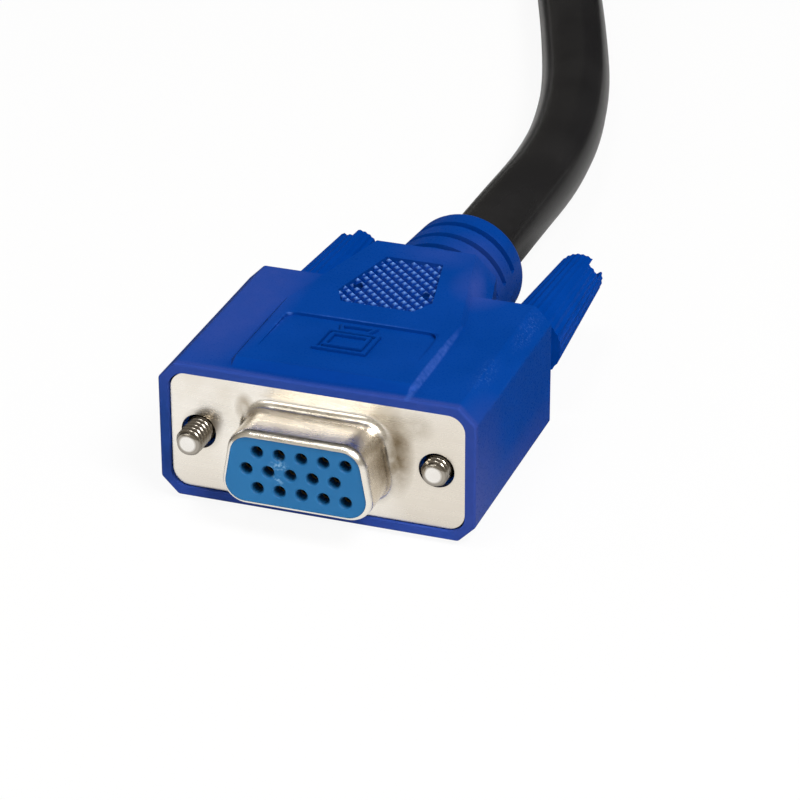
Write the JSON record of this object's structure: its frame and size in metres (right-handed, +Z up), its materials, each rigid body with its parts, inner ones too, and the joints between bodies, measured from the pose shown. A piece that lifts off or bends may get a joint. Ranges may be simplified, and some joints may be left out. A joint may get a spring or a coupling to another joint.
{
  "type": "kvm video cable",
  "caption": "Blue moulded high-density D-shaped video socket with captive thumbscrews on a round black cable, hanked, with a matching plug at the far end.",
  "frame": {"origin": "on the surface that the socket end lies on, under the middle of the socket end's length and width", "axes": "+X across the socket, to the right seen from its mating side; -Y the way the socket faces; +Y along the cable; +Z up"},
  "size_m": [0.0781, 0.2909, 0.042],
  "materials": {
    "hood_plastic": "satin moulded blue",
    "nickel_plate": "warm nickel plate",
    "insulator_plastic": "satin light blue",
    "inner_plastic": "natural white",
    "contact_metal": "thin gold plate",
    "screw_steel": "bright nickel plate",
    "cable_jacket": "smooth black jacket",
    "tie_plastic": "black"
  },
  "bodies": {
    "connector": {"hood": "hood_plastic", "front_shell": "nickel_plate", "rear_shell": "nickel_plate", "front_insulator": "insulator_plastic", "rear_insulator": "inner_plastic", "contacts": "contact_metal", "inner_mould": "inner_plastic", "far_hood": "hood_plastic", "far_front_shell": "nickel_plate", "far_rear_shell": "nickel_plate", "far_front_insulator": "insulator_plastic", "far_rear_insulator": "inner_plastic", "far_pins": "contact_metal", "far_inner_mould": "inner_plastic", "cable_run": "cable_jacket", "cable_hank": "cable_jacket", "hank_tie": "tie_plastic", "cable_lead": "cable_jacket"},
    "left_clip": {"left_retainer": "screw_steel"},
    "left_thumbscrew": {"left_screw": "screw_steel", "left_grip": "hood_plastic"},
    "right_clip": {"right_retainer": "screw_steel"},
    "right_thumbscrew": {"right_screw": "screw_steel", "right_grip": "hood_plastic"},
    "far_left_clip": {"far_left_retainer": "screw_steel"},
    "far_left_thumbscrew": {"far_left_screw": "screw_steel", "far_left_grip": "hood_plastic"},
    "far_right_clip": {"far_right_retainer": "screw_steel"},
    "far_right_thumbscrew": {"far_right_screw": "screw_steel", "far_right_grip": "hood_plastic"}
  },
  "joints": [
    {"name": "left_slide", "type": "slide", "parent": "connector", "child": "left_clip", "axis": [0, -1, 0], "range_m": [-0.003, 0.0034]},
    {"name": "left_turn", "type": "hinge", "parent": "left_clip", "child": "left_thumbscrew", "pos_m": [-0.01249, -0.021, 0.00785], "axis": [0, -1, 0], "continuous": true},
    {"name": "right_slide", "type": "slide", "parent": "connector", "child": "right_clip", "axis": [0, -1, 0], "range_m": [-0.0011, 0.0053]},
    {"name": "right_turn", "type": "hinge", "parent": "right_clip", "child": "right_thumbscrew", "pos_m": [0.01249, -0.021, 0.00785], "axis": [0, -1, 0], "continuous": true},
    {"name": "far_left_slide", "type": "slide", "parent": "connector", "child": "far_left_clip", "axis": [0, 1, 0], "range_m": [-0.006, 0.0004]},
    {"name": "far_left_turn", "type": "hinge", "parent": "far_left_clip", "child": "far_left_thumbscrew", "pos_m": [-0.0035, 0.258, 0.03415], "axis": [0, 1, 0], "continuous": true},
    {"name": "far_right_slide", "type": "slide", "parent": "connector", "child": "far_right_clip", "axis": [0, 1, 0], "range_m": [-0.006, 0.0004]},
    {"name": "far_right_turn", "type": "hinge", "parent": "far_right_clip", "child": "far_right_thumbscrew", "pos_m": [-0.02849, 0.258, 0.03415], "axis": [0, 1, 0], "continuous": true}
  ]
}
